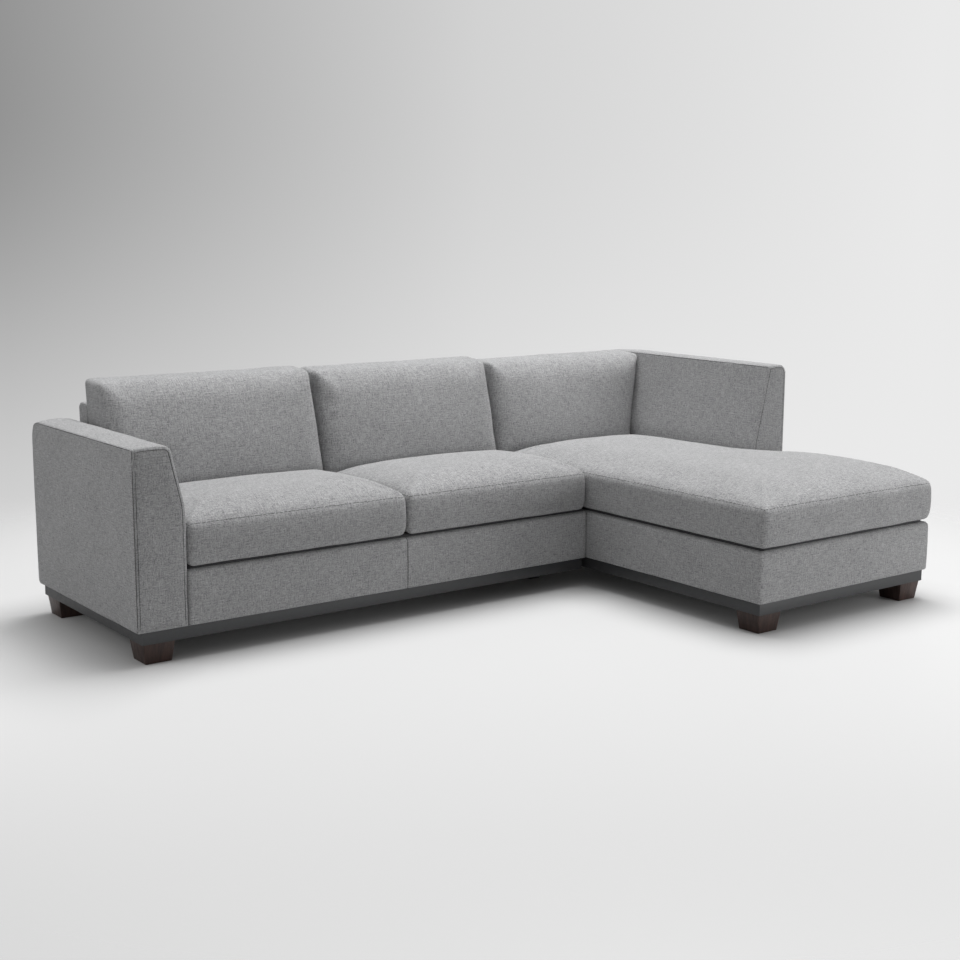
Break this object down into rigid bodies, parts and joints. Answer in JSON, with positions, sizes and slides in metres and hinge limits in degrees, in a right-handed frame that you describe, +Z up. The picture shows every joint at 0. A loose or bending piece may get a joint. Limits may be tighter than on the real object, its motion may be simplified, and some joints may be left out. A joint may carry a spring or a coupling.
{
  "type": "l-shaped sectional sofa",
  "caption": "L-shaped sectional sofa with a chaise, tapered padded arm, loose box seat cushions, loose back cushions, dark plinth and tapered wooden feet.",
  "frame": {"origin": "centre of the footprint's bounding box, on the floor", "axes": "+X along the back towards the chaise side, +Y towards the back, +Z up"},
  "size_m": [2.73, 1.725, 0.841],
  "materials": {
    "upholstery": "matte",
    "foam": "matte",
    "deck_cloth": "matte",
    "webbing": "matte",
    "dust_cloth": "matte",
    "plinth_paint": "matte",
    "foot_wood": "satin",
    "leg_plastic": "matte",
    "frame_wood": "matte",
    "zinc_steel": "satin"
  },
  "bodies": {
    "sofa_section": {"arm_cover": "upholstery", "arm_end_panels": "frame_wood", "arm_rails": "frame_wood", "sofa_back_cover": "upholstery", "sofa_back_posts": "frame_wood", "sofa_back_rail": "frame_wood", "sofa_back_rails": "frame_wood", "sofa_back_webbing": "webbing", "sofa_centre_stretcher": "frame_wood", "sofa_connector_channel": "zinc_steel", "sofa_corner_blocks": "frame_wood", "sofa_deck_pad": "deck_cloth", "sofa_dust_cover": "dust_cloth", "sofa_feet": "foot_wood", "sofa_foot_bolts": "zinc_steel", "sofa_front_border": "upholstery", "sofa_front_rail": "frame_wood", "sofa_left_rail": "frame_wood", "sofa_plinth": "plinth_paint", "sofa_right_rail": "frame_wood", "sofa_seat_springs": "zinc_steel", "sofa_spring_clips": "zinc_steel", "sofa_support_legs": "leg_plastic"},
    "chaise_section": {"chaise_back_cover": "upholstery", "chaise_back_posts": "frame_wood", "chaise_back_rail": "frame_wood", "chaise_back_rails": "frame_wood", "chaise_back_webbing": "webbing", "chaise_connector_tongue": "zinc_steel", "chaise_corner_blocks": "frame_wood", "chaise_deck_pad": "deck_cloth", "chaise_dust_cover": "dust_cloth", "chaise_feet": "foot_wood", "chaise_foot_bolts": "zinc_steel", "chaise_front_border": "upholstery", "chaise_front_rail": "frame_wood", "chaise_left_border": "upholstery", "chaise_left_rail": "frame_wood", "chaise_plinth": "plinth_paint", "chaise_right_border": "upholstery", "chaise_right_rail": "frame_wood", "chaise_seat_springs": "zinc_steel", "chaise_spring_clips": "zinc_steel", "chaise_stretchers": "frame_wood", "return_cover": "upholstery", "return_end_panels": "frame_wood", "return_rails": "frame_wood"},
    "seat_cushion_left": {"seat_cushion_left_core": "foam", "seat_cushion_left_cover": "upholstery"},
    "seat_cushion_right": {"seat_cushion_right_core": "foam", "seat_cushion_right_cover": "upholstery"},
    "chaise_cushion": {"chaise_cushion_core": "foam", "chaise_cushion_cover": "upholstery"},
    "back_cushion_left": {"back_cushion_left_core": "foam", "back_cushion_left_cover": "upholstery"},
    "back_cushion_centre": {"back_cushion_centre_core": "foam", "back_cushion_centre_cover": "upholstery"},
    "back_cushion_right": {"back_cushion_right_core": "foam", "back_cushion_right_cover": "upholstery"}
  },
  "joints": [
    {"name": "chaise_unhook", "type": "slide", "parent": "sofa_section", "child": "chaise_section", "axis": [0, 0, 1], "range_m": [0, 0.07]},
    {"name": "seat_cushion_left_lift", "type": "slide", "parent": "sofa_section", "child": "seat_cushion_left", "axis": [0, 0, 1], "range_m": [0, 0.55]},
    {"name": "seat_cushion_right_lift", "type": "slide", "parent": "sofa_section", "child": "seat_cushion_right", "axis": [0, 0, 1], "range_m": [0, 0.55]},
    {"name": "chaise_cushion_lift", "type": "slide", "parent": "chaise_section", "child": "chaise_cushion", "axis": [0, 0, 1], "range_m": [0, 0.55]},
    {"name": "back_cushion_left_lift", "type": "slide", "parent": "sofa_section", "child": "back_cushion_left", "axis": [0, 0, 1], "range_m": [0, 0.6]},
    {"name": "back_cushion_centre_lift", "type": "slide", "parent": "sofa_section", "child": "back_cushion_centre", "axis": [0, 0, 1], "range_m": [0, 0.6]},
    {"name": "back_cushion_right_lift", "type": "slide", "parent": "chaise_section", "child": "back_cushion_right", "axis": [0, 0, 1], "range_m": [0, 0.6]}
  ]
}
